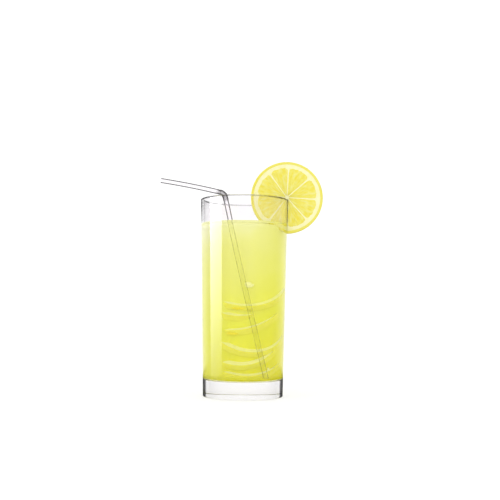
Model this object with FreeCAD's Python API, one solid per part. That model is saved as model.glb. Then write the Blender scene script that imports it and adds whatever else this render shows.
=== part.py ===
"""A tall glass of lemonade with a lemon slice on its rim and a clear bendy straw.

Millimetres, +Z up. The origin is the middle of the glass's flat underside.
The slice stands in the XZ plane on the +X side of the rim.
The straw leans against the rim at the front (-Y) and points towards -X.
"""
import FreeCAD
import Part
import math
import os

# The glass: a plain tapered tumbler with a heavy bottom.
glass_height = 147.5
rim_radius = 33.0  # outside, at the lip
foot_radius = 29.8  # outside, at the underside
wall = 1.8
floor_thickness = 12.5
foot_round = 3.0  # outer corner at the underside
floor_round = 5.0  # inner corner at the floor
lip_round = 0.45 * wall  # both edges of the lip, which leaves a narrow flat between them

# The drink.
headspace = 18.5  # from the drink up to the lip
drink_gap = 0.05  # between the drink and what it touches

# The straw: a thin tube, a short corrugated bend and an arm.
straw_radius = 1.8
straw_wall = 0.25
foot_bearing = -43.0  # degrees round the glass from +X, where the foot stands
rim_bearing = 241.2  # and where the leg leans on the rim
bend_radius = 5.5
bend_lift = 0.4  # share of the bend's cut corner
arm_length = 44.0
arm_rise_start = 13.0  # degrees above level, beside the bend
arm_rise_end = 8.5  # and at the open tip
corrugation_height = 0.3
corrugation_pitch = 1.2
corrugations = 8
ridge_share = 0.72  # of the pitch, the rest is plain tube
ridge_sink = 0.05  # how far a ridge's two thin edges lie inside the tube
seat_gap = 0.25  # between the straw and the glass it leans on
slant_width = 1.05  # how much wider a leaning tube is, measured level
slant_drop = 0.3  # how far its low edge hangs below its middle, in radii

# The slice of lemon on the rim.
slice_radius = 27.3
slice_thickness = 5.0
peel_round = 0.9
hub_lift = 1.7  # the slice's middle above the lip
slit_gap = 0.3  # on each side of the wall, and above the lip


def outside_radius(height):
    """Outer radius of the glass at a height."""
    return foot_radius + (rim_radius - foot_radius) * height / glass_height


def inside_radius(height):
    return outside_radius(height) - wall


def ring_edge(solid, radius, height):
    """The round edge of a turned solid that has this radius and height."""
    for edge in solid.Edges:
        curve = edge.Curve
        if not isinstance(curve, Part.Circle):
            continue
        if abs(curve.Radius - radius) < 1e-4 and abs(curve.Center.z - height) < 1e-4:
            return edge
    raise ValueError("no round edge of radius %g at height %g" % (radius, height))


def make_hollow(top, gap):
    """The inside of the glass from its floor up to a height, shrunk by a gap."""
    low = floor_thickness + gap
    low_radius = inside_radius(low) - gap
    base = FreeCAD.Vector(0, 0, low)
    cone = Part.makeCone(low_radius, inside_radius(top) - gap, top - low, base)
    return cone.makeFillet(floor_round - gap, [ring_edge(cone, low_radius, low)])


def make_glass():
    body = Part.makeCone(foot_radius, rim_radius, glass_height)
    body = body.makeFillet(foot_round, [ring_edge(body, foot_radius, 0)])
    glass = body.cut(make_hollow(glass_height, 0))
    lip = [
        ring_edge(glass, rim_radius, glass_height),
        ring_edge(glass, rim_radius - wall, glass_height),
    ]
    return glass.makeFillet(lip_round, lip)


def on_bearing(radius, bearing, height):
    """A point at a radius and a bearing round the glass's axis."""
    angle = math.radians(bearing)
    return FreeCAD.Vector(radius * math.cos(angle), radius * math.sin(angle), height)


def rising_left(rise):
    """A unit vector towards -X that climbs at an angle in degrees."""
    angle = math.radians(rise)
    return FreeCAD.Vector(-math.cos(angle), 0, math.sin(angle))


def tangent_arc(start, heading, towards, radius, angle):
    """An arc that leaves a point along a heading and turns towards a unit vector."""
    middle = heading * (radius * math.sin(angle / 2)) + towards * (radius * (1 - math.cos(angle / 2)))
    end = heading * (radius * math.sin(angle)) + towards * (radius * (1 - math.cos(angle)))
    return Part.Arc(start, start + middle, start + end).toShape()


def straw_path():
    """The middle line of the straw: leg, bend and arm, from the foot to the tip."""
    crest_radius = straw_radius + corrugation_height
    stand = floor_thickness + seat_gap + slant_drop * straw_radius
    foot_room = floor_round + slant_width * straw_radius + seat_gap
    foot = on_bearing(inside_radius(floor_thickness) - foot_room, foot_bearing, stand)
    lean_room = slant_width * crest_radius + seat_gap
    lean = on_bearing(inside_radius(glass_height) - lean_room, rim_bearing, glass_height)
    leg = (lean - foot).normalize()

    arm = rising_left(arm_rise_start)
    turn = leg.getAngle(arm)
    reach = bend_radius * math.tan(turn / 2)

    # The end of the bend lies on the lip. A bend runs inside its corner, which lowers it,
    # so the corner is lifted by a share of that.
    rise = math.radians(arm_rise_start)
    lip_radius = rim_radius - wall / 2
    lip_x = -math.sqrt(lip_radius ** 2 - lean.y ** 2)
    clear = (crest_radius + seat_gap) / math.cos(rise)
    cut_corner = bend_radius / math.cos(turn / 2) - bend_radius
    corner_height = clear + bend_lift * cut_corner - (lean.x - lip_x) * math.tan(rise)
    corner = lean + leg * (corner_height / leg.z)
    bend_start = corner - leg * reach
    bend_end = corner + arm * reach
    inward = (arm - leg * math.cos(turn)) * (1 / math.sin(turn))
    droop = math.radians(arm_rise_start - arm_rise_end)
    down = FreeCAD.Vector(-math.sin(rise), 0, -math.cos(rise))
    return [
        Part.makeLine(foot, bend_start),
        tangent_arc(bend_start, leg, inward, bend_radius, turn),
        tangent_arc(bend_end, arm, down, arm_length / droop, droop),
    ]


def make_tube(path, radius):
    """A round bar of one radius along the path."""
    start = path[0].valueAt(path[0].FirstParameter)
    heading = path[0].tangentAt(path[0].FirstParameter)
    section = Part.Wire([Part.makeCircle(radius, start, heading)])
    return Part.Wire(path).makePipeShell([section], True, True)


def point_along(path, distance):
    """The point and heading at a distance along the path."""
    for edge in path:
        if distance <= edge.Length:
            break
        distance -= edge.Length
    parameter = edge.getParameterByLength(distance)
    return edge.valueAt(parameter), edge.tangentAt(parameter)


def make_ridge(point, heading):
    """One corrugation: a low double cone threaded on the tube."""
    edge_radius = straw_radius - ridge_sink
    half = ridge_share * corrugation_pitch / 2
    crest = straw_radius + corrugation_height
    upper = Part.makeCone(crest, edge_radius, half, point, heading)
    lower = Part.makeCone(crest, edge_radius, half, point, heading * -1)
    return upper.fuse(lower)


def make_straw(path):
    straw = make_tube(path, straw_radius)
    middle = path[0].Length + path[1].Length / 2
    ridges = []
    for count in range(corrugations):
        distance = middle + (count - (corrugations - 1) / 2) * corrugation_pitch
        point, heading = point_along(path, distance)
        ridges.append(make_ridge(point, heading))
    bore = make_tube(path, straw_radius - straw_wall)
    return straw.fuse(ridges).cut(bore)


def make_slice(gap):
    """The slice with its slit, grown by a gap to make room for it in the drink."""
    hub = FreeCAD.Vector(rim_radius - wall / 2, 0, glass_height + hub_lift)
    radius = slice_radius + gap
    thickness = slice_thickness + 2 * gap
    corner = hub + FreeCAD.Vector(0, -thickness / 2, 0)
    disc = Part.makeCylinder(radius, thickness, corner, FreeCAD.Vector(0, 1, 0))
    rims = []
    for edge in disc.Edges:
        if edge.isClosed():
            rims.append(edge)
    disc = disc.makeFillet(peel_round, rims)

    # A knife's cut from the middle down, along the slope of the wall it sits on.
    width = wall + 2 * (slit_gap - gap)
    top = glass_height + slit_gap - gap
    depth = 2 * slice_radius
    slit = Part.makeBox(width, 2 * thickness, depth)
    slit.translate(FreeCAD.Vector(hub.x - width / 2, -thickness, top - depth))
    taper = math.degrees(math.atan((rim_radius - foot_radius) / glass_height))
    slit.rotate(FreeCAD.Vector(hub.x, 0, glass_height), FreeCAD.Vector(0, 1, 0), taper)
    return disc.cut(slit)


def make_drink(path):
    drink = make_hollow(glass_height - headspace, drink_gap)
    drink = drink.cut(make_tube(path, straw_radius + drink_gap))
    return drink.cut(make_slice(drink_gap))


path = straw_path()
pieces = {
    "glass": make_glass(),
    "lemonade": make_drink(path),
    "straw": make_straw(path),
    "lemon_slice": make_slice(0),
}

os.makedirs("parts", exist_ok=True)
for node, shape in pieces.items():
    solids = shape.Solids
    if len(solids) != 1:
        raise ValueError("%s has %d solids" % (node, len(solids)))
    solid = solids[0]
    box = solid.BoundBox
    solid.exportStep("parts/%s.step" % node)
    print("%s: volume %.0f, x %.1f to %.1f, y %.1f to %.1f, z %.1f to %.1f, valid %s" % (
        node, solid.Volume, box.XMin, box.XMax, box.YMin, box.YMax, box.ZMin, box.ZMax, solid.isValid()))
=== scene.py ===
# %% [markdown]
# # A glass of lemonade
#
# This lesson builds the looks of a tall glass of cloudy lemonade: a tapered
# tumbler, the drink, slices of lemon sunk in it, one slice on the rim and a
# clear bendy straw. The construction was made in CAD and is loaded first as a
# fixed frame. Nothing here moves or resizes it: each new piece is modelled at
# the place that the frame gives, in metres, with +Z up.

# %% Load the frame
import math

import bmesh
import bpy
from mathutils import Matrix, Vector, noise


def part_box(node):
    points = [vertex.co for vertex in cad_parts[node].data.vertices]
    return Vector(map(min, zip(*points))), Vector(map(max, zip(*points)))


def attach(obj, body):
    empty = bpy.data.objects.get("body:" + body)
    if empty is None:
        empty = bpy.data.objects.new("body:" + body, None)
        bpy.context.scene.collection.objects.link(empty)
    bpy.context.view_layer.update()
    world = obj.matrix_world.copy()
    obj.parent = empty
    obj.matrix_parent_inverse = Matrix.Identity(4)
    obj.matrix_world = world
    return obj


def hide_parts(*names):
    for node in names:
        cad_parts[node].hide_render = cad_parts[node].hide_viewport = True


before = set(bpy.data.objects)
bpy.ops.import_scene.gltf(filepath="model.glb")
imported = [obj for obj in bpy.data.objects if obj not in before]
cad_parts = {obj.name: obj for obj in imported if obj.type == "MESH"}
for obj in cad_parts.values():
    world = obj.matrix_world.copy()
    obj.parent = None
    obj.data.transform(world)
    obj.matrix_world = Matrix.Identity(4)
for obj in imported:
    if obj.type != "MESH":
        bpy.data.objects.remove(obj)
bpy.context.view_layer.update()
print("frame nodes:", sorted(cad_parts))

# %% [markdown]
# ## The camera
#
# The eye is at half the height of the glass and looks up by a few degrees, so
# the near side of the lip is seen above its far side, and the foot is seen from
# above. The camera comes first, because every later step is judged through it.

# %% Put up the camera
MM = 0.001
eye = Vector((4.5, -600, 72)) * MM
look_up = math.radians(90 + 3.56)
lean = math.radians(0.5)

camera = bpy.data.objects.new("camera", bpy.data.cameras.new("camera"))
bpy.context.collection.objects.link(camera)
camera.matrix_world = (
    Matrix.Translation(eye) @ Matrix.Rotation(look_up, 4, "X") @ Matrix.Rotation(lean, 4, "Z")
)
camera.data.lens = 57.2
camera.data.clip_start = 0.01
bpy.context.scene.camera = camera
print("camera at", [round(value, 4) for value in eye])

# %% [markdown]
# ## Sizes from the frame
#
# The outer sizes are read from the boxes of the CAD nodes. What a box cannot
# say, such as the thickness of the wall, is given here once.

# %% Measure the frame
glass_low, glass_high = (Vector(corner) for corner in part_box("glass"))
drink_low, drink_high = (Vector(corner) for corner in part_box("lemonade"))
slice_low, slice_high = (Vector(corner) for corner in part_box("lemon_slice"))

GLASS_HEIGHT = glass_high.z
RIM_RADIUS = (glass_high.x - glass_low.x) / 2
FOOT_RADIUS = 29.8 * MM
WALL = 1.8 * MM
FLOOR = drink_low.z
DRINK_LEVEL = drink_high.z
FLOOR_ROUND = 5.0 * MM  # corner of the wall and the floor, which the straw's foot keeps clear of
DRAWN_ROUND = 3.0 * MM  # the same corner as it is modelled here, tighter, as it looks
FOOT_ROUND = 0.5 * MM  # outer edge of the foot
SLICE_RADIUS = (slice_high.z - slice_low.z) / 2
SLICE_THICKNESS = slice_high.y - slice_low.y
SLICE_MIDDLE = (slice_low + slice_high) / 2


def outside_radius(height):
    return FOOT_RADIUS + (RIM_RADIUS - FOOT_RADIUS) * height / GLASS_HEIGHT


def inside_radius(height):
    return outside_radius(height) - WALL


print("glass %.1f mm tall, lip radius %.1f mm, drink up to %.1f mm" % (
    GLASS_HEIGHT / MM, RIM_RADIUS / MM, DRINK_LEVEL / MM))

# %% [markdown]
# ## Small helpers
#
# Operators act on whatever is selected, and the loaded frame is selected, so
# each piece starts by deselecting everything. Edges and faces are then picked
# by where they are, which reads like picking them by hand.


# %% Helpers for modelling
def start_piece():
    """Leave edit mode and deselect everything."""
    if bpy.context.object and bpy.context.object.mode == "EDIT":
        bpy.ops.object.mode_set(mode="OBJECT")
    bpy.ops.object.select_all(action="DESELECT")


def edit():
    bpy.ops.object.mode_set(mode="EDIT")


def leave_edit():
    bpy.ops.object.mode_set(mode="OBJECT")


def pick(piece, kind, rule):
    """In edit mode, select only the verts, edges or faces whose middle fits a rule."""
    bpy.ops.mesh.select_mode(type=kind)
    bpy.ops.mesh.select_all(action="DESELECT")
    leave_edit()
    mesh = piece.data
    group = {"VERT": mesh.vertices, "EDGE": mesh.edges, "FACE": mesh.polygons}[kind]
    for item in group:
        if kind == "VERT":
            corners = [item.co]
        else:
            corners = [mesh.vertices[number].co for number in item.vertices]
        if all(rule(corner) for corner in corners):
            item.select = True
    edit()


def pick_disc(piece, height):
    """In edit mode, select only the round lid at a height, which is one face of many corners."""
    pick(piece, "FACE", lambda point: False)
    leave_edit()
    for face in piece.data.polygons:
        if len(face.vertices) > 20 and abs(face.center.z - height) < 1e-5:
            face.select = True
    edit()


def level_ring(height, radius=None, reach=2e-5):
    """A rule for points at one height and, if it is given, one radius from the glass's axis."""
    def rule(point):
        if abs(point.z - height) > reach:
            return False
        return radius is None or abs(math.hypot(point.x, point.y) - radius) < reach
    return rule


def clean_shell(piece):
    """Merge doubled points and turn every face outwards."""
    bpy.ops.mesh.select_all(action="SELECT")
    bpy.ops.mesh.remove_doubles(threshold=1e-6)
    bpy.ops.mesh.normals_make_consistent(inside=False)
    leave_edit()
    shell = bmesh.new()
    shell.from_mesh(piece.data)
    volume = shell.calc_volume(signed=True)
    shell.free()
    # A shell that encloses a negative volume is inside out, which a cup's hollow can cause.
    if volume < 0:
        edit()
        bpy.ops.mesh.select_all(action="SELECT")
        bpy.ops.mesh.flip_normals()
        leave_edit()


def finish_piece(piece, name, material, node=None):
    """Name a finished piece, give it its material and let it ride on the part."""
    piece.name = name
    piece.data.name = name
    if material is not None:
        piece.data.materials.clear()
        piece.data.materials.append(material)
    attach(piece, "root")
    if node is not None:
        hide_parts(node)
    print("%s: %d faces" % (name, len(piece.data.polygons)))
    return piece


# %% Helpers for materials
def new_material(name):
    """A material with a Principled shader, and a short way to add and join nodes."""
    material = bpy.data.materials.new(name)
    material.use_nodes = True
    tree = material.node_tree
    shader = tree.nodes["Principled BSDF"]

    def add(kind, **values):
        node = tree.nodes.new("ShaderNode" + kind)
        for key, value in values.items():
            if key.startswith("in_"):
                node.inputs[key[3:].replace("_", " ")].default_value = value
            else:
                setattr(node, key, value)
        return node

    def join(source, output, target, entry):
        tree.links.new(source.outputs[output], target.inputs[entry])

    return material, shader, add, join


def sum_of(add, join, kind, first, second):
    """A Math node of one kind. Each side is a number or a (node, output) pair."""
    node = add("Math", operation=kind)
    for entry, side in enumerate((first, second)):
        if side is None:
            continue
        if isinstance(side, tuple):
            join(side[0], side[1], node, entry)
        else:
            node.inputs[entry].default_value = side
    return (node, 0)


def object_place(add, join):
    """Object coordinates, whole and split into X, Y and Z."""
    place = add("TexCoord")
    split = add("SeparateXYZ")
    join(place, "Object", split, "Vector")
    return place, split


def colour_ramp(add, join, source, stops):
    """A ramp from a (node, output) pair. Each stop is a position and a colour."""
    ramp = add("ValToRGB")
    elements = ramp.color_ramp.elements
    while len(elements) < len(stops):
        elements.new(0.5)
    for element, (position, colour) in zip(elements, stops):
        element.position = position
        element.color = (*colour, 1)
    join(source[0], source[1], ramp, "Fac")
    return (ramp, 0)

# %% [markdown]
# ## Clear glass
#
# Clean glass is only seen by what it bends and mirrors. Against a white ground
# its outline shows dark. Here that dark outline is painted shade: the grazing
# angle is read with Layer Weight and darkens the tint there. Beside the drink
# the outline is lost, so the painted shade is kept to the empty rim and the
# solid bottom. The painted dark lines are soft on the left and hard on the
# right. That is fixed to the glass and was chosen for the view from the front,
# so from the sides the soft and the hard lines are not where they should be.


# %% Make the glass material
def grey_ramp(add, join, source, stops):
    """A ramp of greys with a touch of lilac, as clear glass has in its shaded parts."""
    return colour_ramp(add, join, source, [
        (position, (grey, 0.985 * grey, grey)) for position, grey in stops])


def mix_colours(add, join, share, first, second):
    """Blend two colours. Each is a (node, output) pair or plain red, green and blue."""
    node = add("Mix", data_type="RGBA")
    join(share[0], share[1], node, 0)
    for entry, side in ((6, first), (7, second)):
        if isinstance(side[0], float):
            node.inputs[entry].default_value = (*side, 1)
        else:
            join(side[0], side[1], node, entry)
    return (node, 2)


def step_between(add, join, source, low, high):
    """0 below one value and 1 above the other. The first may be the larger one."""
    node = add("MapRange", clamp=True)
    node.inputs["From Min"].default_value = low
    node.inputs["From Max"].default_value = high
    join(source[0], source[1], node, "Value")
    return (node, "Result")


def make_glass_material():
    material, shader, add, join = new_material("clear_tumbler_glass")
    shader.inputs["Roughness"].default_value = 0.0
    shader.inputs["IOR"].default_value = 1.5
    shader.inputs["Transmission Weight"].default_value = 1.0

    split = object_place(add, join)[1]
    facing = (add("LayerWeight", in_Blend=0.5), "Facing")
    # Painted shade: the tint darkens where the wall is seen at a grazing angle, softer on the left than
    # on the right.
    left = grey_ramp(add, join, facing, [
        (0.0, 0.98), (0.3, 0.94), (0.42, 0.89), (0.6, 0.8), (0.7, 0.68), (0.78, 0.3), (0.86, 0.04)])
    right = grey_ramp(add, join, facing, [
        (0.0, 0.98), (0.68, 0.97), (0.75, 0.85), (0.82, 0.25), (1.0, 0.03)])
    # Painted shade for the grazing edges of the solid bottom.
    bottom = grey_ramp(add, join, facing, [
        (0.0, 0.95), (0.2, 0.9), (0.42, 0.78), (0.57, 0.93), (0.65, 0.02), (1.0, 0.005)])
    side = step_between(add, join, (split, "X"), -5 * MM, 15 * MM)
    rim = mix_colours(add, join, side, left, right)

    # Only upright walls and the lip get the painted shade, not the flat floor and underside.
    shape = add("NewGeometry")
    normal = add("SeparateXYZ")
    join(shape, "Normal", normal, "Vector")
    level_share = sum_of(add, join, "ABSOLUTE", (normal, "Z"), None)
    upright = step_between(add, join, level_share, 0.75, 0.45)
    lip = step_between(add, join, (split, "Z"), GLASS_HEIGHT - 1.4 * MM, GLASS_HEIGHT - 0.9 * MM)
    drawn = sum_of(add, join, "MAXIMUM", upright, lip)
    above = step_between(add, join, (split, "Z"), DRINK_LEVEL + 0.2 * MM, DRINK_LEVEL + 0.8 * MM)
    above = sum_of(add, join, "MULTIPLY", above, drawn)
    below = step_between(add, join, (split, "Z"), FLOOR + 0.8 * MM, FLOOR + 0.2 * MM)
    below = sum_of(add, join, "MULTIPLY", below, upright)
    # Painted shade on the lip: pale grey at the front and back and dark at the sides, as seen from the
    # front.
    from_middle = sum_of(add, join, "ABSOLUTE", (split, "X"), None)
    from_middle = step_between(add, join, from_middle, 0.0, RIM_RADIUS)
    lip_painted_shade = grey_ramp(add, join, from_middle, [(0.0, 0.72), (0.5, 0.6), (0.8, 0.2), (1.0, 0.05)])
    rim = mix_colours(add, join, lip, rim, lip_painted_shade)
    painted_shade_tint = mix_colours(add, join, above, (1.0, 1.0, 1.0), rim)
    painted_shade_tint = mix_colours(add, join, below, painted_shade_tint, bottom)
    join(painted_shade_tint[0], painted_shade_tint[1], shader, "Base Color")

    # The ring the glass stands on is ground, so it is a little frosted.
    ground = step_between(add, join, (split, "Z"), 0.9 * MM, 0.5 * MM)
    ground = sum_of(add, join, "MULTIPLY", ground, 0.2)
    join(ground[0], ground[1], shader, "Roughness")
    return material


clear_glass = make_glass_material()
print("made", clear_glass.name)

# %% [markdown]
# ## The tumbler
#
# The real glass is pressed in a mould: a plain taper with a heavy bottom and a
# fire-polished lip. A cone is inset at its top and pushed down to the floor,
# which leaves the wall, and its edges are bevelled round. Rings are cut just
# past each round, so that the smooth shading stays flat along the wall and
# light is not bent where it should run straight.


# %% Model the tumbler
def make_tumbler():
    start_piece()
    bpy.ops.mesh.primitive_cone_add(
        vertices=160, radius1=FOOT_RADIUS, radius2=RIM_RADIUS, depth=GLASS_HEIGHT,
        end_fill_type="NGON", location=(0, 0, GLASS_HEIGHT / 2))
    piece = bpy.context.object
    bpy.ops.object.transform_apply(location=True)
    edit()
    pick(piece, "FACE", lambda point: point.z > GLASS_HEIGHT - 1e-5)
    bpy.ops.mesh.inset(thickness=WALL, use_even_offset=True)
    bpy.ops.mesh.extrude_region_move(TRANSFORM_OT_translate={"value": (0, 0, FLOOR - GLASS_HEIGHT)})
    shrink = inside_radius(FLOOR) / (RIM_RADIUS - WALL)
    bpy.ops.transform.resize(value=(shrink, shrink, 1), center_override=(0, 0, FLOOR))

    pick(piece, "EDGE", level_ring(0, FOOT_RADIUS))
    bpy.ops.mesh.bevel(offset=FOOT_ROUND, segments=9, profile=0.5)
    pick(piece, "EDGE", level_ring(FLOOR, inside_radius(FLOOR)))
    bpy.ops.mesh.bevel(offset=DRAWN_ROUND, segments=9, profile=0.5)
    for radius in (RIM_RADIUS, RIM_RADIUS - WALL):
        pick(piece, "EDGE", level_ring(GLASS_HEIGHT, radius))
        bpy.ops.mesh.bevel(offset=0.44 * WALL, segments=6, profile=0.5)

    # Rings that hold the shading straight, and a small inset on both flat discs.
    for height in (FOOT_ROUND + 0.4 * MM, FLOOR + DRAWN_ROUND + 0.5 * MM, GLASS_HEIGHT - 1.3 * MM):
        bpy.ops.mesh.select_all(action="SELECT")
        bpy.ops.mesh.bisect(plane_co=(0, 0, height), plane_no=(0, 0, 1))
    for height in (0, FLOOR):
        pick_disc(piece, height)
        bpy.ops.mesh.inset(thickness=0.4 * MM)
    clean_shell(piece)
    bpy.ops.object.shade_smooth()
    return finish_piece(piece, "tumbler", clear_glass, "glass")


make_tumbler()

# %% [markdown]
# ## The drink
#
# Cloudy lemonade lets light a few millimetres in and then sends it back, milky
# and yellow. Two bodies stand for that. The outer one is clear and faintly
# yellow, with a real absorption that deepens where it is thick. It reaches just
# into the wall, so that no gap of air shows. The inner one is the haze of pulp
# that hides the far side. It stands nearer the back, which leaves a clearer
# layer at the front where the straw and the edges of the slices are seen.


# %% Make the drink's two materials
def make_clear_drink_material():
    material, shader, _, _ = new_material("clear_lemonade")
    shader.inputs["Base Color"].default_value = (1.0, 0.995, 0.86, 1)
    shader.inputs["Roughness"].default_value = 0.0
    shader.inputs["IOR"].default_value = 1.33
    shader.inputs["Transmission Weight"].default_value = 1.0
    inside = material.node_tree.nodes.new("ShaderNodeVolumeAbsorption")
    inside.inputs["Color"].default_value = (0.93, 0.93, 0.1, 1)
    inside.inputs["Density"].default_value = 24.0
    out = material.node_tree.nodes["Material Output"]
    material.node_tree.links.new(inside.outputs["Volume"], out.inputs["Volume"])
    return material


def make_haze_material():
    """Pale at the surface, deeper yellow where the pulp settles, and deeper yellow on the right as
    painted shade away from the light.
    """
    material, shader, add, join = new_material("lemonade_haze")
    shader.inputs["Roughness"].default_value = 0.6
    shader.inputs["Specular IOR Level"].default_value = 0.0
    place, split = object_place(add, join)
    cloud = add("TexNoise", in_Scale=26.0, in_Detail=2.0)
    join(place, "Object", cloud, "Vector")

    # The height, pushed up and down a little by the noise, and lower on the right, which paints shade on
    # the side away from the light.
    wave = sum_of(add, join, "SUBTRACT", (cloud, 0), 0.5)
    wave = sum_of(add, join, "MULTIPLY", wave, 0.04)
    height = sum_of(add, join, "ADD", (split, "Z"), wave)
    aside = sum_of(add, join, "SUBTRACT", (split, "X"), 4 * MM)
    aside = sum_of(add, join, "MAXIMUM", aside, 0.0)
    aside = sum_of(add, join, "MULTIPLY", aside, -1.6)
    height = sum_of(add, join, "ADD", height, aside)
    share = step_between(add, join, height, FLOOR, DRINK_LEVEL)
    ramp = colour_ramp(add, join, share, [
        (0.0, (0.84, 0.815, 0.04)),
        (0.25, (0.85, 0.857, 0.09)),
        (0.5, (0.868, 0.875, 0.25)),
        (0.85, (0.9, 0.9, 0.58)),
        (0.97, (0.935, 0.935, 0.82)),
    ])
    drifted = step_between(add, join, (split, "X"), -6 * MM, -24 * MM)
    deep = step_between(add, join, (split, "Z"), DRINK_LEVEL, 0.55 * DRINK_LEVEL)
    drifted = sum_of(add, join, "MULTIPLY", drifted, deep)
    drifted = sum_of(add, join, "MULTIPLY", drifted, 0.6)
    colour = mix_colours(add, join, drifted, ramp, (0.89, 0.895, 0.2))
    join(colour[0], colour[1], shader, "Base Color")
    return material


clear_drink = make_clear_drink_material()
haze = make_haze_material()
print("made", clear_drink.name, "and", haze.name)


# %% Model the clear body of the drink
REACH = 0.2 * MM  # how far the drink reaches into the wall


def make_drink():
    low = FLOOR - REACH
    low_radius = inside_radius(low) + REACH
    high_radius = inside_radius(DRINK_LEVEL) + REACH
    start_piece()
    bpy.ops.mesh.primitive_cone_add(
        vertices=160, radius1=low_radius, radius2=high_radius, depth=DRINK_LEVEL - low,
        end_fill_type="NGON", location=(0, 0, (DRINK_LEVEL + low) / 2))
    piece = bpy.context.object
    bpy.ops.object.transform_apply(location=True)
    edit()
    pick(piece, "EDGE", level_ring(low, low_radius))
    bpy.ops.mesh.bevel(offset=DRAWN_ROUND, segments=9, profile=0.5)

    # The meniscus: the surface climbs a little where it meets the glass.
    level = DRINK_LEVEL
    for thickness, drop in ((0.35, 0.1), (0.6, 0.07), (1.0, 0.04), (1.4, 0.02)):
        pick_disc(piece, level)
        bpy.ops.mesh.inset(thickness=thickness * MM)
        bpy.ops.transform.translate(value=(0, 0, -drop * MM))
        level -= drop * MM
    for height in (low + DRAWN_ROUND + 0.5 * MM, DRINK_LEVEL - 0.5 * MM):
        bpy.ops.mesh.select_all(action="SELECT")
        bpy.ops.mesh.bisect(plane_co=(0, 0, height), plane_no=(0, 0, 1))
    pick_disc(piece, low)
    bpy.ops.mesh.inset(thickness=0.4 * MM)
    clean_shell(piece)
    bpy.ops.object.shade_smooth()
    return finish_piece(piece, "lemonade_clear", clear_drink, "lemonade")


make_drink()


# %% Model the haze inside the drink
HAZE_SHARE = 0.74  # of the inside radius
HAZE_BACK = 6.0 * MM  # how far it stands towards the back
HAZE_TOP = DRINK_LEVEL - 0.8 * MM
SETTLED_WIDENING = 0.28  # at the floor
SETTLED_HEIGHT = 2.6 * MM
DRIFTED_WIDENING = 0.24  # on the left
WALL_CLEARANCE = 0.3 * MM


def smooth_step(share):
    share = min(1.0, max(0.0, share))
    return share * share * (3 - 2 * share)


def drink_side(height):
    """Radius of the drink at a height, with its round corner at the floor."""
    below = max(0.0, FLOOR + DRAWN_ROUND - height)
    return inside_radius(height) - DRAWN_ROUND + math.sqrt(max(0.0, DRAWN_ROUND ** 2 - below ** 2))


def make_haze():
    """A cone like the drink's. Its wide round shoulder lets the haze thin out at the surface."""
    low = FLOOR + 0.15 * MM
    low_radius = HAZE_SHARE * inside_radius(low)
    high_radius = HAZE_SHARE * inside_radius(HAZE_TOP)
    start_piece()
    bpy.ops.mesh.primitive_cone_add(
        vertices=128, radius1=low_radius, radius2=high_radius,
        depth=HAZE_TOP - low, end_fill_type="NGON", location=(0, 0, (HAZE_TOP + low) / 2))
    piece = bpy.context.object
    bpy.ops.object.transform_apply(location=True)
    edit()
    pick(piece, "EDGE", level_ring(low, low_radius))
    bpy.ops.mesh.bevel(offset=1.2 * MM, segments=4, profile=0.5)
    pick(piece, "EDGE", level_ring(HAZE_TOP, high_radius))
    bpy.ops.mesh.bevel(offset=4 * MM, segments=8, profile=0.5)
    for height in (low, HAZE_TOP):
        pick_disc(piece, height)
        bpy.ops.mesh.inset(thickness=0.5 * MM)
    for rise in (1.4, 1.8, 2.2, 2.6, 3, 3.5, 4, 5, 6, 8, 12, 20):
        bpy.ops.mesh.select_all(action="SELECT")
        bpy.ops.mesh.bisect(plane_co=(0, 0, FLOOR + rise * MM), plane_no=(0, 0, 1))
    clean_shell(piece)

    # Wider at the floor and on the left, and moved to the back, to look right from the
    # front. From the sides and from above the haze shows as a body of its own.
    for vertex in piece.data.vertices:
        point = vertex.co
        radius = math.hypot(point.x, point.y)
        if radius < 1e-6:
            continue
        settled = math.exp(-(((point.z - FLOOR) / SETTLED_HEIGHT) ** 2))
        drifted = smooth_step((-point.x / radius - 0.35) / 0.6)
        side = HAZE_SHARE * inside_radius(point.z)
        wanted = side * (1 + SETTLED_WIDENING * settled + DRIFTED_WIDENING * drifted)
        room = drink_side(point.z) - WALL_CLEARANCE
        grown = min(wanted, room) / side
        back = min(HAZE_BACK * (1 - settled) * (1 - drifted), max(0.0, room - side))
        point.x *= grown
        point.y = point.y * grown + back
    bpy.ops.object.shade_smooth()
    return finish_piece(piece, "lemonade_haze", haze)


make_haze()

# %% [markdown]
# ## The straw
#
# A bendy straw is a thin clear tube with a short corrugated bend. Its middle
# line is worked out from the same sizes as the construction: the foot on the
# floor, the place on the lip where it leans, and an arm that droops a little.
# A ring is extruded up the leg, spun round the bend and spun again, very
# slightly, along the arm. The corrugations are then raised by a rule on the
# distance along the middle line, and Solidify gives the tube its wall.

# %% Lay out the straw's middle line
STRAW_RADIUS = 1.8 * MM
STRAW_WALL = 0.25 * MM
CORRUGATION_HEIGHT = 0.3 * MM
CORRUGATION_PITCH = 1.2 * MM
CORRUGATIONS = 8
BEND_RADIUS = 5.5 * MM
BEND_LIFT = 0.4
ARM_LENGTH = 44 * MM
ARM_RISE_START = math.radians(13)
ARM_RISE_END = math.radians(8.5)
FOOT_BEARING = math.radians(-43)
RIM_BEARING = math.radians(241.2)
SEAT_GAP = 0.25 * MM
SLANT_WIDTH = 1.05
SLANT_DROP = 0.3


def on_bearing(radius, bearing, height):
    return Vector((radius * math.cos(bearing), radius * math.sin(bearing), height))


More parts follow.
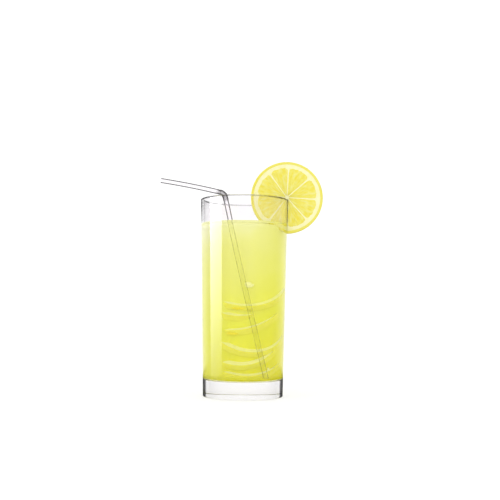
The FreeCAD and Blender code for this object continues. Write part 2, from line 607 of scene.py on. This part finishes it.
crest = STRAW_RADIUS + CORRUGATION_HEIGHT
foot_radius = inside_radius(FLOOR) - FLOOR_ROUND - SLANT_WIDTH * STRAW_RADIUS - SEAT_GAP
foot = on_bearing(foot_radius, FOOT_BEARING, FLOOR + SEAT_GAP + SLANT_DROP * STRAW_RADIUS)
lean_radius = inside_radius(GLASS_HEIGHT) - SLANT_WIDTH * crest - SEAT_GAP
lean_point = on_bearing(lean_radius, RIM_BEARING, GLASS_HEIGHT)
leg = (lean_point - foot).normalized()
arm = Vector((-math.cos(ARM_RISE_START), 0, math.sin(ARM_RISE_START)))
turn = leg.angle(arm)
reach = BEND_RADIUS * math.tan(turn / 2)

lip_x = -math.sqrt((RIM_RADIUS - WALL / 2) ** 2 - lean_point.y ** 2)
clear = (crest + SEAT_GAP) / math.cos(ARM_RISE_START)
cut_corner = BEND_RADIUS / math.cos(turn / 2) - BEND_RADIUS
corner_height = clear + BEND_LIFT * cut_corner - (lean_point.x - lip_x) * math.tan(ARM_RISE_START)
corner = lean_point + leg * (corner_height / leg.z)
bend_start = corner - leg * reach
bend_end = corner + arm * reach
bend_axis = leg.cross(arm).normalized()
bend_middle = bend_start + bend_axis.cross(leg) * BEND_RADIUS
droop = ARM_RISE_START - ARM_RISE_END
arm_axis = Vector((0, 1, 0))
arm_radius = ARM_LENGTH / droop
arm_middle = bend_end + Vector((-math.sin(ARM_RISE_START), 0, -math.cos(ARM_RISE_START))) * arm_radius
leg_length = (bend_start - foot).length
bend_length = BEND_RADIUS * turn
print("straw: leg %.0f mm, bend %.0f degrees, arm %.0f mm" % (
    leg_length / MM, math.degrees(turn), ARM_LENGTH / MM))


def nearest_on_straw(point):
    """The point of the middle line beside a point, and its distance from the foot."""
    along_leg = (point - foot).dot(leg)
    if along_leg <= leg_length:
        return foot + leg * along_leg, along_leg
    spoke = point - bend_middle
    spoke -= bend_axis * spoke.dot(bend_axis)
    start = (bend_start - bend_middle).normalized()
    angle = math.atan2(start.cross(spoke).dot(bend_axis), start.dot(spoke))
    if angle <= turn:
        return bend_middle + spoke.normalized() * BEND_RADIUS, leg_length + angle * BEND_RADIUS
    spoke = point - arm_middle
    spoke.y = 0
    start = (bend_end - arm_middle).normalized()
    angle = spoke.angle(start)
    return (arm_middle + spoke.normalized() * arm_radius + Vector((0, bend_end.y, 0)),
            leg_length + bend_length + angle * arm_radius)


# %% Make the clear plastic
def make_plastic_material():
    """Painted dark outlines in air, and thinner olive ones, now strong and now faint, in the drink, all
    painted shade by the grazing angle.
    """
    material, shader, add, join = new_material("clear_straw_plastic")
    shader.inputs["Roughness"].default_value = 0.0
    shader.inputs["IOR"].default_value = 1.12
    shader.inputs["Transmission Weight"].default_value = 1.0
    place, split = object_place(add, join)
    facing = (add("LayerWeight", in_Blend=0.5), "Facing")
    # Painted shade: the tube is tinted darker where it is seen at a grazing angle, in air and in the
    # drink.
    dry_painted_outline = grey_ramp(add, join, facing, [
        (0.0, 1.0), (0.15, 0.98), (0.28, 0.6), (0.42, 0.2), (1.0, 0.05)])
    wet_painted_outline = colour_ramp(add, join, facing, [
        (0.0, (1.0, 1.0, 1.0)),
        (0.4, (0.97, 0.97, 0.93)),
        (0.6, (0.4, 0.4, 0.15)),
        (1.0, (0.06, 0.06, 0.01)),
    ])
    fade = add("TexNoise", in_Scale=70.0, in_Detail=1.0)
    join(place, "Object", fade, "Vector")
    faint = step_between(add, join, (fade, 0), 0.35, 0.7)
    wet_painted_outline = mix_colours(add, join, faint, wet_painted_outline, (0.95, 0.95, 0.85))
    above = step_between(add, join, (split, "Z"), DRINK_LEVEL - 1 * MM, DRINK_LEVEL + 1 * MM)
    painted_shade_tint = mix_colours(add, join, above, wet_painted_outline, dry_painted_outline)

    # The folds of the bend are painted darker, as shade, by the grazing angle.
    from_bend = add("VectorMath", operation="DISTANCE")
    join(place, "Object", from_bend, 0)
    from_bend.inputs[1].default_value = (bend_start + bend_end) / 2
    folds = step_between(add, join, (from_bend, "Value"), 6.5 * MM, 4.5 * MM)
    folds_painted_shade = grey_ramp(add, join, facing, [(0.0, 0.8), (0.25, 0.4), (0.5, 0.1), (1.0, 0.03)])
    painted_shade_tint = mix_colours(add, join, folds, painted_shade_tint, folds_painted_shade)
    join(painted_shade_tint[0], painted_shade_tint[1], shader, "Base Color")
    return material


clear_plastic = make_plastic_material()
print("made", clear_plastic.name)


# %% Model the straw
def make_straw():
    start_piece()
    heading = leg.to_track_quat("Z", "Y").to_euler()
    bpy.ops.mesh.primitive_circle_add(
        vertices=32, radius=STRAW_RADIUS, fill_type="NOTHING", location=foot, rotation=heading)
    piece = bpy.context.object
    bpy.ops.object.transform_apply(location=True, rotation=True)
    edit()
    bpy.ops.mesh.select_all(action="SELECT")

    # Long steps up the leg, then short ones where the corrugations begin.
    rings_below = 12
    short = (CORRUGATIONS * CORRUGATION_PITCH - bend_length) / 2 + CORRUGATION_PITCH
    for _ in range(16):
        bpy.ops.mesh.extrude_edges_move(
            TRANSFORM_OT_translate={"value": leg * ((leg_length - short) / 16)})
    for _ in range(rings_below):
        bpy.ops.mesh.extrude_edges_move(TRANSFORM_OT_translate={"value": leg * (short / rings_below)})
    bpy.ops.mesh.spin(steps=28, angle=-turn, center=bend_middle, axis=bend_axis)
    share = short / ARM_LENGTH
    bpy.ops.mesh.spin(steps=rings_below, angle=droop * share, center=arm_middle, axis=arm_axis)
    bpy.ops.mesh.spin(steps=16, angle=droop * (1 - share), center=arm_middle, axis=arm_axis)
    clean_shell(piece)

    # Raise the corrugations.
    middle = leg_length + bend_length / 2
    half_run = CORRUGATIONS * CORRUGATION_PITCH / 2
    for vertex in piece.data.vertices:
        centre, distance = nearest_on_straw(vertex.co)
        offset = distance - middle
        if abs(offset) > half_run:
            continue
        wave = 0.5 - 0.5 * math.cos(2 * math.pi * (offset + half_run) / CORRUGATION_PITCH)
        outwards = (vertex.co - centre).normalized()
        vertex.co += outwards * (CORRUGATION_HEIGHT * wave)

    wall = piece.modifiers.new("wall", "SOLIDIFY")
    wall.thickness = STRAW_WALL
    wall.offset = -1
    bpy.ops.object.modifier_apply(modifier="wall")
    bpy.ops.object.shade_smooth_by_angle(angle=math.radians(50))
    return finish_piece(piece, "straw_tube", clear_plastic, "straw")


straw_tube = make_straw()
box = [straw_tube.matrix_world @ Vector(point) for point in straw_tube.bound_box]
print("straw spans x", [round(min(p.x for p in box) / MM, 1), round(max(p.x for p in box) / MM, 1)],
      "z", [round(min(p.z for p in box) / MM, 1), round(max(p.z for p in box) / MM, 1)])

# %% [markdown]
# ## A cut slice of lemon
#
# A crosswise cut of a lemon shows a thin glossy peel, a ring of white pith, and
# wedges of flesh with thin skins between them that meet in a pale middle. Each
# of these is a piece here. The slice is modelled once, lying flat at the
# origin. One copy is stood on the rim, and thinner copies are sunk in the drink.
#
# The peel is a small profile spun all the way round. The pith is a disc, and it
# shows between the wedges as their skins. A wedge is a rectangle spun through
# its angle and moved out along its middle, which leaves gaps of even width.

# %% Make the lemon's three materials
FLESH_SHARE = 0.845  # of the slice's radius
PITH_SHARE = 0.93
SKIN = 0.5 * MM  # thickness of the skin between two wedges


def add_bump(material, add, join, shader, height, strength, distance):
    bump = add("Bump", in_Strength=strength, in_Distance=distance)
    join(height[0], height[1], bump, "Height")
    join(bump, "Normal", shader, "Normal")


def make_peel_material():
    material, shader, add, join = new_material("lemon_peel")
    shader.inputs["Roughness"].default_value = 0.38
    place = add("TexCoord")
    patches = add("TexNoise", in_Scale=90.0, in_Detail=2.0)
    join(place, "Object", patches, "Vector")
    colour = colour_ramp(add, join, (patches, "Fac"), [
        (0.3, (0.84, 0.75, 0.09)),
        (0.7, (0.85, 0.79, 0.16)),
    ])
    join(colour[0], 0, shader, "Base Color")
    pores = add("TexVoronoi", in_Scale=900.0)
    join(place, "Object", pores, "Vector")
    add_bump(material, add, join, shader, (pores, "Distance"), 0.35, 0.0003)
    return material


def make_pith_material():
    material, shader, add, join = new_material("lemon_pith")
    shader.inputs["Roughness"].default_value = 0.7
    place = add("TexCoord")
    patches = add("TexNoise", in_Scale=350.0, in_Detail=3.0)
    join(place, "Object", patches, "Vector")
    colour = colour_ramp(add, join, (patches, "Fac"), [
        (0.3, (0.90, 0.86, 0.42)),
        (0.7, (0.93, 0.89, 0.54)),
    ])
    join(colour[0], 0, shader, "Base Color")
    add_bump(material, add, join, shader, (patches, "Fac"), 0.3, 0.0004)
    return material


def make_flesh_material():
    """Juice sacs are long drops that point at the middle, so the pattern runs along the radius."""
    material, shader, add, join = new_material("lemon_flesh")
    shader.inputs["Roughness"].default_value = 0.22
    shader.inputs["Coat Weight"].default_value = 0.15
    shader.inputs["Coat Roughness"].default_value = 0.1
    cut = add("UVMap", uv_map="cut")
    stretch = add("Mapping")
    stretch.inputs["Scale"].default_value = (75, 5.5, 1)
    join(cut, "UV", stretch, "Vector")
    sacs = add("TexVoronoi", in_Scale=1.0, in_Randomness=0.9)
    join(stretch, "Vector", sacs, "Vector")
    streaks = add("TexNoise", in_Scale=0.7, in_Detail=3.0)
    join(stretch, "Vector", streaks, "Vector")
    mixed = sum_of(add, join, "MULTIPLY", (sacs, "Distance"), 0.55)
    mixed = sum_of(add, join, "ADD", mixed, (streaks, "Fac"))
    colour = colour_ramp(add, join, mixed, [
        (0.35, (0.85, 0.71, 0.04)),
        (0.6, (0.86, 0.75, 0.09)),
        (0.85, (0.87, 0.79, 0.15)),
        (1.0, (0.88, 0.82, 0.25)),
    ])
    join(colour[0], 0, shader, "Base Color")
    add_bump(material, add, join, shader, (sacs, "Distance"), 0.5, 0.0006)
    return material


peel_material = make_peel_material()
pith_material = make_pith_material()
flesh_material = make_flesh_material()


# %% Model one slice, flat at the origin
def model_peel(radius, thickness, round_off, rind):
    """A rectangle, rounded at its outer corners and spun all the way round."""
    start_piece()
    inner = radius - rind
    bpy.ops.mesh.primitive_plane_add(size=1, rotation=(math.radians(90), 0, 0))
    piece = bpy.context.object
    piece.scale = (radius - inner, thickness, 1)
    piece.location = ((radius + inner) / 2, 0, 0)
    bpy.ops.object.transform_apply(location=True, rotation=True, scale=True)
    edit()
    pick(piece, "VERT", lambda point: point.x > radius - 1e-6)
    bpy.ops.mesh.bevel(offset=round_off, segments=5, affect="VERTICES")
    bpy.ops.mesh.select_all(action="SELECT")
    bpy.ops.mesh.delete(type="ONLY_FACE")
    bpy.ops.mesh.select_all(action="SELECT")
    bpy.ops.mesh.spin(steps=96, angle=math.radians(360), center=(0, 0, 0), axis=(0, 0, 1))
    clean_shell(piece)
    bpy.ops.object.shade_smooth_by_angle(angle=math.radians(50))
    piece.data.materials.append(peel_material)
    return piece


def model_pith(radius, thickness):
    """A disc with a few rings cut into its faces."""
    start_piece()
    bpy.ops.mesh.primitive_cylinder_add(vertices=96, radius=radius, depth=thickness)
    piece = bpy.context.object
    edit()
    for height in (thickness / 2, -thickness / 2):
        for share in (0.08, 0.3, 0.3):
            pick_disc(piece, height)
            bpy.ops.mesh.inset(thickness=share * radius)
    clean_shell(piece)
    bpy.ops.object.shade_smooth_by_angle(angle=math.radians(50))
    piece.data.materials.append(pith_material)
    return piece


def model_wedge(radius, thickness, start, end, skin, seed):
    """One wedge of flesh between two angles in degrees, with half a skin left off each side."""
    start_piece()
    inner = 0.04 * radius
    first = math.radians(start)
    wide = math.radians(end - start)
    middle = (radius + inner) / 2
    bpy.ops.mesh.primitive_plane_add(size=1, rotation=(math.radians(90), 0, first))
    piece = bpy.context.object
    piece.scale = (radius - inner, thickness, 1)
    piece.location = (middle * math.cos(first), middle * math.sin(first), 0)
    bpy.ops.object.transform_apply(location=True, rotation=True, scale=True)
    edit()
    pick(piece, "VERT", lambda point: math.hypot(point.x, point.y) > middle)
    bpy.ops.mesh.bevel(offset=0.14 * thickness, segments=3, affect="VERTICES")
    along = Vector((math.cos(first), math.sin(first), 0))
    for cut in range(1, 16):
        bpy.ops.mesh.select_all(action="SELECT")
        bpy.ops.mesh.bisect(plane_co=along * (inner + (radius - inner) * cut / 17), plane_no=along)
    bpy.ops.mesh.select_all(action="SELECT")
    bpy.ops.mesh.spin(steps=16, angle=-wide, center=(0, 0, 0), axis=(0, 0, 1))
    clean_shell(piece)

    # Round the wedge's corners, swell its faces and press the juice sacs into them.
    mesh = piece.data
    chart = mesh.uv_layers.new(name="cut")
    bisector = first + wide / 2
    places = []
    for vertex in mesh.vertices:
        point = vertex.co
        distance = math.hypot(point.x, point.y)
        turned = math.atan2(point.y, point.x) - bisector
        turned = (turned + math.pi) % (2 * math.pi) - math.pi
        outwards = (distance - inner) / (radius - inner)
        aside = min(1.0, abs(turned) / (wide / 2))
        places.append(((bisector + turned) / (2 * math.pi), distance / radius))
        side = math.copysign(1, point.z) if abs(point.z) > 0.3 * thickness else 0
        sac = noise.noise(Vector((turned * 26, outwards * 3.2, seed + side)))
        swell = 0.05 * (1 - aside ** 2) * math.sin(math.pi * min(1.0, max(0.0, outwards)))
        point.z += side * thickness * (swell + 0.03 * sac * (1 - aside ** 4) - 0.02 * aside ** 16)
        distance -= 0.085 * radius * aside ** 7 * outwards ** 3
        distance -= 0.02 * radius * noise.noise(Vector((turned * 9, seed, 2.0))) * outwards ** 4
        angle = bisector + turned
        point.x = distance * math.cos(angle)
        point.y = distance * math.sin(angle)
    for loop in mesh.loops:
        chart.data[loop.index].uv = places[loop.vertex_index]
    shift = skin / 2 / math.sin(wide / 2)
    piece.location = (shift * math.cos(bisector), shift * math.sin(bisector), 0)
    bpy.ops.object.transform_apply(location=True)
    bpy.ops.object.shade_smooth_by_angle(angle=math.radians(60))
    mesh.materials.append(flesh_material)
    return piece


def join_pieces(pieces):
    """Join pieces into the first of them."""
    start_piece()
    for piece in pieces:
        piece.select_set(True)
    bpy.context.view_layer.objects.active = pieces[0]
    bpy.ops.object.join()
    return pieces[0]


def model_slice(cuts, radius, thickness, seed):
    """Peel, pith and flesh of one slice, lying flat. The cuts are the angles of its skins."""
    peel = model_peel(radius, thickness, 0.17 * thickness, 0.075 * radius)
    pith = model_pith(PITH_SHARE * radius, 0.975 * thickness)
    wedges = []
    for number, start in enumerate(cuts):
        end = cuts[(number + 1) % len(cuts)]
        if end <= start:
            end += 360
        tip = FLESH_SHARE * radius - 0.8 * MM
        wedges.append(model_wedge(tip, thickness, start, end, SKIN, seed + 3.1 * number))
    return peel, pith, join_pieces(wedges)


# %% [markdown]
# ## The slice on the rim
#
# A slit runs from just under the middle to the edge, and the wall of the glass
# stands in it. It is cut with a box that leans like the wall.


# %% Model the slice on the rim
def cut_slit(pieces):
    taper = math.atan2(RIM_RADIUS - FOOT_RADIUS, GLASS_HEIGHT)
    wide = WALL + 0.2 * MM
    deep = 40 * MM
    top = Vector((SLICE_MIDDLE.x, SLICE_MIDDLE.y, GLASS_HEIGHT + 0.3 * MM))
    start_piece()
    bpy.ops.mesh.primitive_cube_add(size=1, rotation=(0, taper, 0))
    cutter = bpy.context.object
    cutter.scale = (wide, 20 * MM, deep)
    cutter.location = top - Vector((math.sin(taper), 0, math.cos(taper))) * (deep / 2)
    bpy.ops.object.transform_apply(location=True, rotation=True, scale=True)
    for piece in pieces:
        start_piece()
        piece.select_set(True)
        bpy.context.view_layer.objects.active = piece
        slit = piece.modifiers.new("slit", "BOOLEAN")
        slit.operation = "DIFFERENCE"
        slit.solver = "EXACT"
        slit.object = cutter
        bpy.ops.object.modifier_apply(modifier="slit")
        edit()
        bpy.ops.mesh.select_all(action="SELECT")
        bpy.ops.mesh.remove_doubles(threshold=0.01 * MM)
        leave_edit()
    bpy.data.objects.remove(cutter)


def stand_on_rim(pieces):
    for piece in pieces:
        start_piece()
        piece.select_set(True)
        bpy.context.view_layer.objects.active = piece
        piece.rotation_euler = (math.radians(90), 0, 0)
        piece.location = SLICE_MIDDLE
        bpy.ops.object.transform_apply(location=True, rotation=True)


rim_cuts = (-3, 41, 87, 126, 176, 233, 270, 312)
rim_pieces = model_slice(rim_cuts, SLICE_RADIUS, SLICE_THICKNESS, 5.0)
stand_on_rim(rim_pieces)
cut_slit(rim_pieces)
for piece, name in zip(rim_pieces, ("rim_slice_peel", "rim_slice_pith", "rim_slice_flesh")):
    finish_piece(piece, name, None, "lemon_slice" if name.endswith("peel") else None)

# %% [markdown]
# ## The slices in the drink
#
# Loose slices settle on one another, tilted like a spread pack of cards, with
# their front edges low. Only the front edges stand out of the haze, as pale
# curved lines of pith above a band of peel. One slice is modelled flat, and
# each of the others is a copy with a mesh of its own, sized, turned and moved.

# %% Sink the slices
# Radius, height of the lowest edge, tilt, bearing of the lowest edge to the right
# of the front, sideways place and depth of the front edge behind the glass's
# axis. Lengths are in millimetres and angles in degrees.
SUNK_RADIUS = 25  # of the slice that the others are copied from
SUNK = (
    (21.0, 14.7, 27, 8, 0.0, 17.4),
    (21.0, 22.4, 38, -4, -1.0, 17.3),
    (22.0, 31.8, 37, 21, 0.5, 17.4),
    (21.5, 47.6, 28, -22, -0.5, 17.4),
    (18.5, 58.0, 31, 5, -4.0, 17.2),
    (24.0, 65.2, 32, 5, 0.5, 17.7),
)


def make_matte_material(name, colour):
    material, shader, _, _ = new_material(name)
    shader.inputs["Base Color"].default_value = (*colour, 1)
    shader.inputs["Roughness"].default_value = 0.6
    shader.inputs["Specular IOR Level"].default_value = 0.0
    return material


def sink_slices():
    """Peel and pith only, because the flesh of these lies inside the haze."""
    flat = model_peel(SUNK_RADIUS * MM, 4.2 * MM, 0.5 * MM, 0.7 * MM)
    # The peel and pith of the sunk slices are paler than the rim slice's: painted light that lifts them
    # out of the shade in the drink.
    flat.data.materials[0] = make_matte_material("sunk_peel_painted_light", (0.88, 0.85, 0.13))
    disc = model_pith((SUNK_RADIUS - 0.65) * MM, 4.16 * MM)
    disc.data.materials[0] = make_matte_material("sunk_pith_painted_light", (0.97, 0.965, 0.80))
    flat = join_pieces([flat, disc])
    for number, (radius, low, tilt, bearing, aside, depth) in enumerate(SUNK):
        start_piece()
        piece = flat.copy()
        piece.data = flat.data.copy()
        bpy.context.collection.objects.link(piece)
        piece.select_set(True)
        bpy.context.view_layer.objects.active = piece
        lean_back = math.radians(tilt)
        turned = Matrix.Rotation(math.radians(bearing), 4, "Z") @ Matrix.Rotation(lean_back, 4, "X")
        size = radius / SUNK_RADIUS
        place = Vector((aside, radius * math.cos(lean_back) - depth, low + radius * math.sin(lean_back)))
        piece.matrix_world = Matrix.Translation(place * MM) @ turned @ Matrix.Diagonal((size, size, 1, 1))
        bpy.ops.object.transform_apply(location=True, rotation=True, scale=True)
        finish_piece(piece, "sunk_slice_%d" % (number + 1), None)
    bpy.data.objects.remove(flat)


sink_slices()

# %% [markdown]
# ## Loose shreds
#
# A few juice sacs have come loose and float in front of the haze as pale shreds,
# and two bits of rind lie deep yellow under the slices they came from. Each is a
# sphere pulled long and pressed out of round by smooth noise.


# %% Model the loose shreds
# The place and the half length in millimetres, and the turn in degrees.
PULP_SHREDS = ((3.3, -16.9, 82.8, 2.5, 8), (5.0, -16.6, 82.2, 1.7, -20), (16.6, -13.6, 21.5, 1.1, 60))
RIND_SHREDS = ((-2.6, -17.2, 65.7, 4.6, -4), (-7.0, -16.6, 47.2, 4.2, 3))


def make_shreds(name, places, colour, height):
    material = make_matte_material(name, colour)
    for number, (x, y, z, size, turned) in enumerate(places):
        start_piece()
        bpy.ops.mesh.primitive_uv_sphere_add(segments=24, ring_count=14, radius=size * MM)
        piece = bpy.context.object
        for vertex in piece.data.vertices:
            bump = noise.noise(vertex.co / (size * MM) * 1.4 + Vector((number, 0, 0)))
            vertex.co *= 1 + 0.35 * bump
        piece.scale = (1.0, 0.35, height)
        piece.rotation_euler = (0, math.radians(turned), 0)
        piece.location = Vector((x, y, z)) * MM
        bpy.ops.object.transform_apply(location=True, rotation=True, scale=True)
        bpy.ops.object.shade_smooth()
        finish_piece(piece, "%s_%d" % (name, number + 1), material)


make_shreds("loose_pulp", PULP_SHREDS, (0.96, 0.95, 0.78), 0.75)
make_shreds("loose_rind", RIND_SHREDS, (0.94, 0.82, 0.03), 0.22)

# %% [markdown]
# ## Floor and light
#
# The whole stands on a pale lit table in a white room, as for a catalogue, so
# the ground stays white and hardly any shadow falls. A tall bright panel on the
# left is seen only as the upright stripe that it mirrors in the glass, and a
# dim dome, which only mirrors see as well, keeps the outlines of the glass
# dark. A wide soft lamp makes the left side a little brighter. Clear pieces
# inside one another bend a ray many times, so the paths of light are allowed
# to be long, and glossy light isn't blurred on its way into the drink.


# %% Set up floor and light
def lit_material(name, strength):
    material, shader, add, join = new_material(name)
    shader.inputs["Base Color"].default_value = (0.5, 0.5, 0.5, 1)
    shader.inputs["Roughness"].default_value = 1.0
    shader.inputs["Specular IOR Level"].default_value = 0.0
    shader.inputs["Emission Color"].default_value = (1, 1, 1, 1)
    shader.inputs["Emission Strength"].default_value = strength
    return material, shader, add, join


def show_in_mirrors_only(thing):
    """Hide a piece of the studio from everything but glossy reflections."""
    for sight in ("camera", "diffuse", "transmission", "volume_scatter", "shadow"):
        setattr(thing, "visible_" + sight, False)


def make_floor():
    start_piece()
    bpy.ops.mesh.primitive_circle_add(vertices=96, radius=2.5, fill_type="NGON")
    floor = bpy.context.object
    floor.name = "lit_table"
    floor.data.materials.append(lit_material("lit_table", 0.5)[0])
    floor.visible_glossy = False


def left_of_front(degrees, distance):
    angle = math.radians(degrees)
    return Vector((-math.sin(angle), -math.cos(angle), 0)) * distance


def make_panel():
    """A bright upright panel, fading out towards its foot, that only mirrors show."""
    near = left_of_front(59, 0.4)
    far = left_of_front(99, 0.4)
    low = -0.03
    high = 0.21
    start_piece()
    across = far - near
    heading = math.atan2(across.y, across.x)
    bpy.ops.mesh.primitive_plane_add(size=1, rotation=(math.radians(90), 0, heading))
    panel = bpy.context.object
    panel.name = "window_panel"
    panel.scale = (across.length, high - low, 1)
    panel.location = (near + far) / 2 + Vector((0, 0, (high + low) / 2))
    bpy.ops.object.transform_apply(location=True, rotation=True, scale=True)
    material, shader, add, join = lit_material("window_panel", 0.0)
    split = object_place(add, join)[1]
    rise = step_between(add, join, (split, "Z"), -0.04, 0.13)
    glow = sum_of(add, join, "MULTIPLY", rise, 8.5)
    join(glow[0], glow[1], shader, "Emission Strength")
    panel.data.materials.append(material)
    show_in_mirrors_only(panel)


def make_room():
    room = bpy.data.worlds.new("white_room")
    room.use_nodes = True
    bpy.context.scene.world = room
    background = room.node_tree.nodes["Background"]
    background.inputs["Color"].default_value = (1, 1, 1, 1)
    background.inputs["Strength"].default_value = 1.15


def make_key_light():
    """A wide soft lamp on the left, a little stronger than the rest of the room."""
    bpy.ops.object.light_add(type="AREA", location=(-1.3, -0.8, 1.0))
    lamp = bpy.context.object
    lamp.name = "soft_key_light"
    lamp.data.shape = "DISK"
    lamp.data.size = 1.2
    lamp.data.energy = 3.5
    lamp.visible_glossy = False
    aim = Vector((0, 0, GLASS_HEIGHT / 2)) - lamp.location
    lamp.rotation_euler = aim.to_track_quat("-Z", "Y").to_euler()


def make_dim_room():
    """The dim part of the studio. Only mirrors show it, and it draws their dark outlines."""
    start_piece()
    bpy.ops.mesh.primitive_uv_sphere_add(segments=48, ring_count=24, radius=2.4)
    dome = bpy.context.object
    dome.name = "dim_room"
    material, shader, add, join = lit_material("dim_room", 0.0)
    shader.inputs["Base Color"].default_value = (0, 0, 0, 1)
    split = object_place(add, join)[1]
    # White behind the drink only, so that the edges of the rim and of the foot stay
    # dark. The heights, in metres, are where the eye's mirrored rays meet the dome.
    behind = step_between(add, join, (split, "Y"), 0.2, 1.5)
    above_foot = step_between(add, join, (split, "Z"), -0.23, -0.205)
    below_rim = step_between(add, join, (split, "Z"), 0.4, 0.35)
    glow = sum_of(add, join, "MULTIPLY", behind, above_foot)
    glow = sum_of(add, join, "MULTIPLY", glow, below_rim)
    glow = sum_of(add, join, "ADD", glow, 0.045)
    join(glow[0], glow[1], shader, "Emission Strength")
    dome.data.materials.append(material)
    show_in_mirrors_only(dome)


make_floor()
make_panel()
make_key_light()
make_dim_room()
make_room()
scene = bpy.context.scene
scene.view_settings.view_transform = "Standard"
scene.cycles.max_bounces = 32
scene.cycles.transmission_bounces = 32
scene.cycles.blur_glossy = 0
print("floor, panel and room are set")
